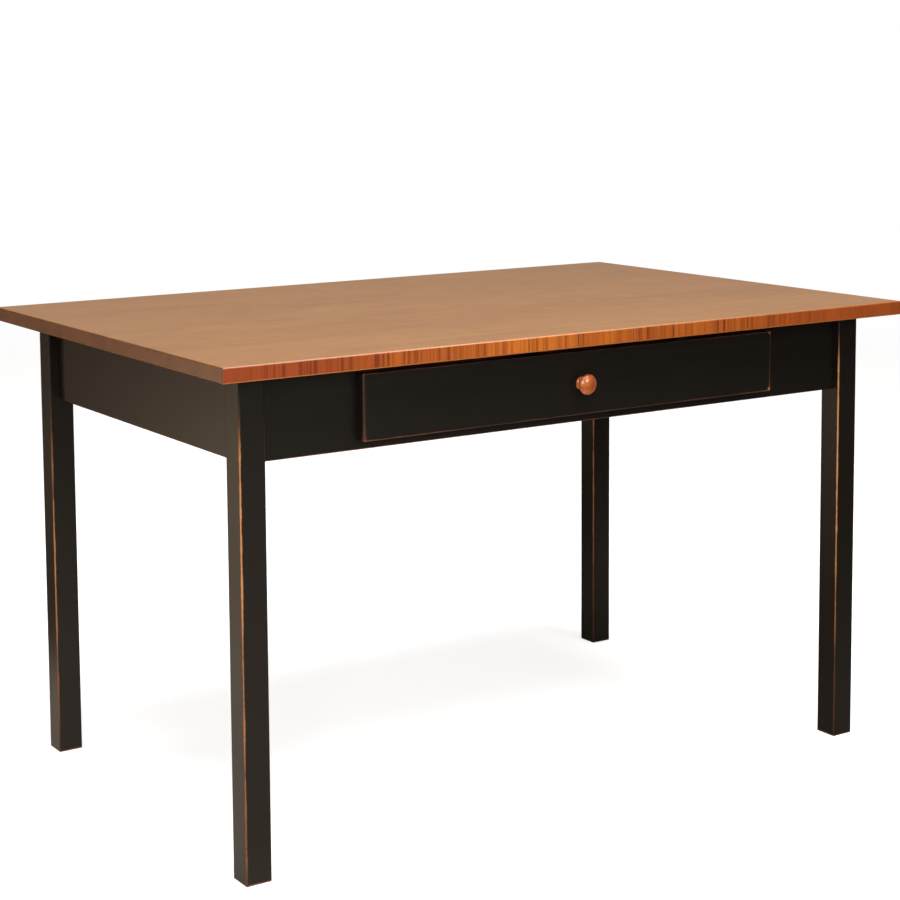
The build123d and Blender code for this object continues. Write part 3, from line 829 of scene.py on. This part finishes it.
def soft_light(name, place, aim, size, power, mirrored=True, lighting=True):
    """A rectangular panel lamp. Glosses show it only if mirrored, and it lights the rest only if lighting."""
    lamp = bpy.data.lights.new(name, "AREA")
    lamp.shape = "RECTANGLE"
    lamp.size, lamp.size_y = size
    lamp.energy = power
    light = bpy.data.objects.new(name, lamp)
    light.location = place
    light.rotation_mode = "QUATERNION"
    light.visible_glossy = mirrored
    light.visible_diffuse = lighting
    light.rotation_quaternion = (Vector(aim) - Vector(place)).to_track_quat("-Z", "Y")
    bpy.context.scene.collection.objects.link(light)


# a direction from the desk, the angles in degrees where the panel is full and where it ends, and its colour
SOFT_PANELS = [
    ((0.54, 0.83, 0.14), 12, 42, (0.24, 0.24, 0.24)),
    ((-0.69, 0.71, -0.10), 7, 18, (0.90, 0.62, 0.41)),
    ((0.95, 0.10, 0.10), 10, 35, (0.40, 0.38, 0.36)),
    ((0.20, -0.92, 0.34), 8, 15, (2.0, 1.85, 1.75)),
]


def studio_surround():
    """White to the eye. What the desk mirrors is a dim room with a few soft panels in it."""
    world = bpy.data.worlds.new("studio_surround")
    bpy.context.scene.world = world
    world.use_nodes = True
    mixer = Mixer(world.node_tree)
    direction = mixer.nodes.new("ShaderNodeTexCoord").outputs["Generated"]
    white, mirrored = (1.0, 1.0, 1.0), (0.052, 0.042, 0.031)
    for aim, full, end, colour in SOFT_PANELS:
        towards = mixer.nodes.new("ShaderNodeVectorMath")
        towards.operation = "DOT_PRODUCT"
        mixer.feed(towards.inputs[0], direction)
        mixer.feed(towards.inputs[1], Vector(aim).normalized())
        reach = (math.cos(math.radians(angle)) for angle in (end, full))
        mirrored = mixer.blend(mixer.step(towards.outputs["Value"], *reach), mirrored, colour)
    background = mixer.nodes["Background"]
    mixer.feed(background.inputs["Color"], mixer.blend(mixer.ray("Camera"), mirrored, white))


def studio_lights():
    """A panel overhead, a key from the front left, a window for the glosses alone and a fill from behind."""
    middle = (0, 0, 0.5)
    soft_light("broad_panel", (-0.1, -1.1, 3.5), middle, (3.0, 3.0), 178)
    soft_light("key", (-2.1, -3.4, 1.8), (0, -0.3, 0.6), (1.4, 1.4), 60)
    soft_light("window", (0.6, -3.15, 1.7), (0, -0.39, 0.675), (1.0, 1.1), 16, lighting=False)
    soft_light("back_fill", (-2.4, 2.6, 2.6), middle, (2.4, 2.4), 28, mirrored=False)


def studio_camera():
    """A long lens a little above the top, turned to the right, with its view shifted down."""
    lens, sensor, shift_down = 80.53, 36, 0.2
    place = (-1.8685, -2.8448, 1.1740)
    turn, tip, roll = 0.5815, 0.1036, -0.0063
    camera = bpy.data.objects.new("camera", bpy.data.cameras.new("camera"))
    camera.data.lens = lens
    camera.data.sensor_width = sensor
    camera.data.shift_y = -shift_down
    camera.rotation_mode = "QUATERNION"
    level = math.pi / 2
    turned = Matrix.Rotation(-turn, 4, "Z")
    tipped = Matrix.Rotation(level - tip, 4, "X")
    rolled = Matrix.Rotation(roll, 4, "Z")
    camera.rotation_quaternion = (turned @ tipped @ rolled).to_quaternion()
    camera.location = place
    bpy.context.scene.collection.objects.link(camera)
    bpy.context.scene.camera = camera


studio_camera()
dress_top()
dress_base()
dress_hardwood()
dress_drawer_sides()
dress_drawer_bottom()
dress_hardware()
turned_knob()
studio_floor()
studio_surround()
studio_lights()
bpy.context.scene.view_settings.view_transform = "Standard"
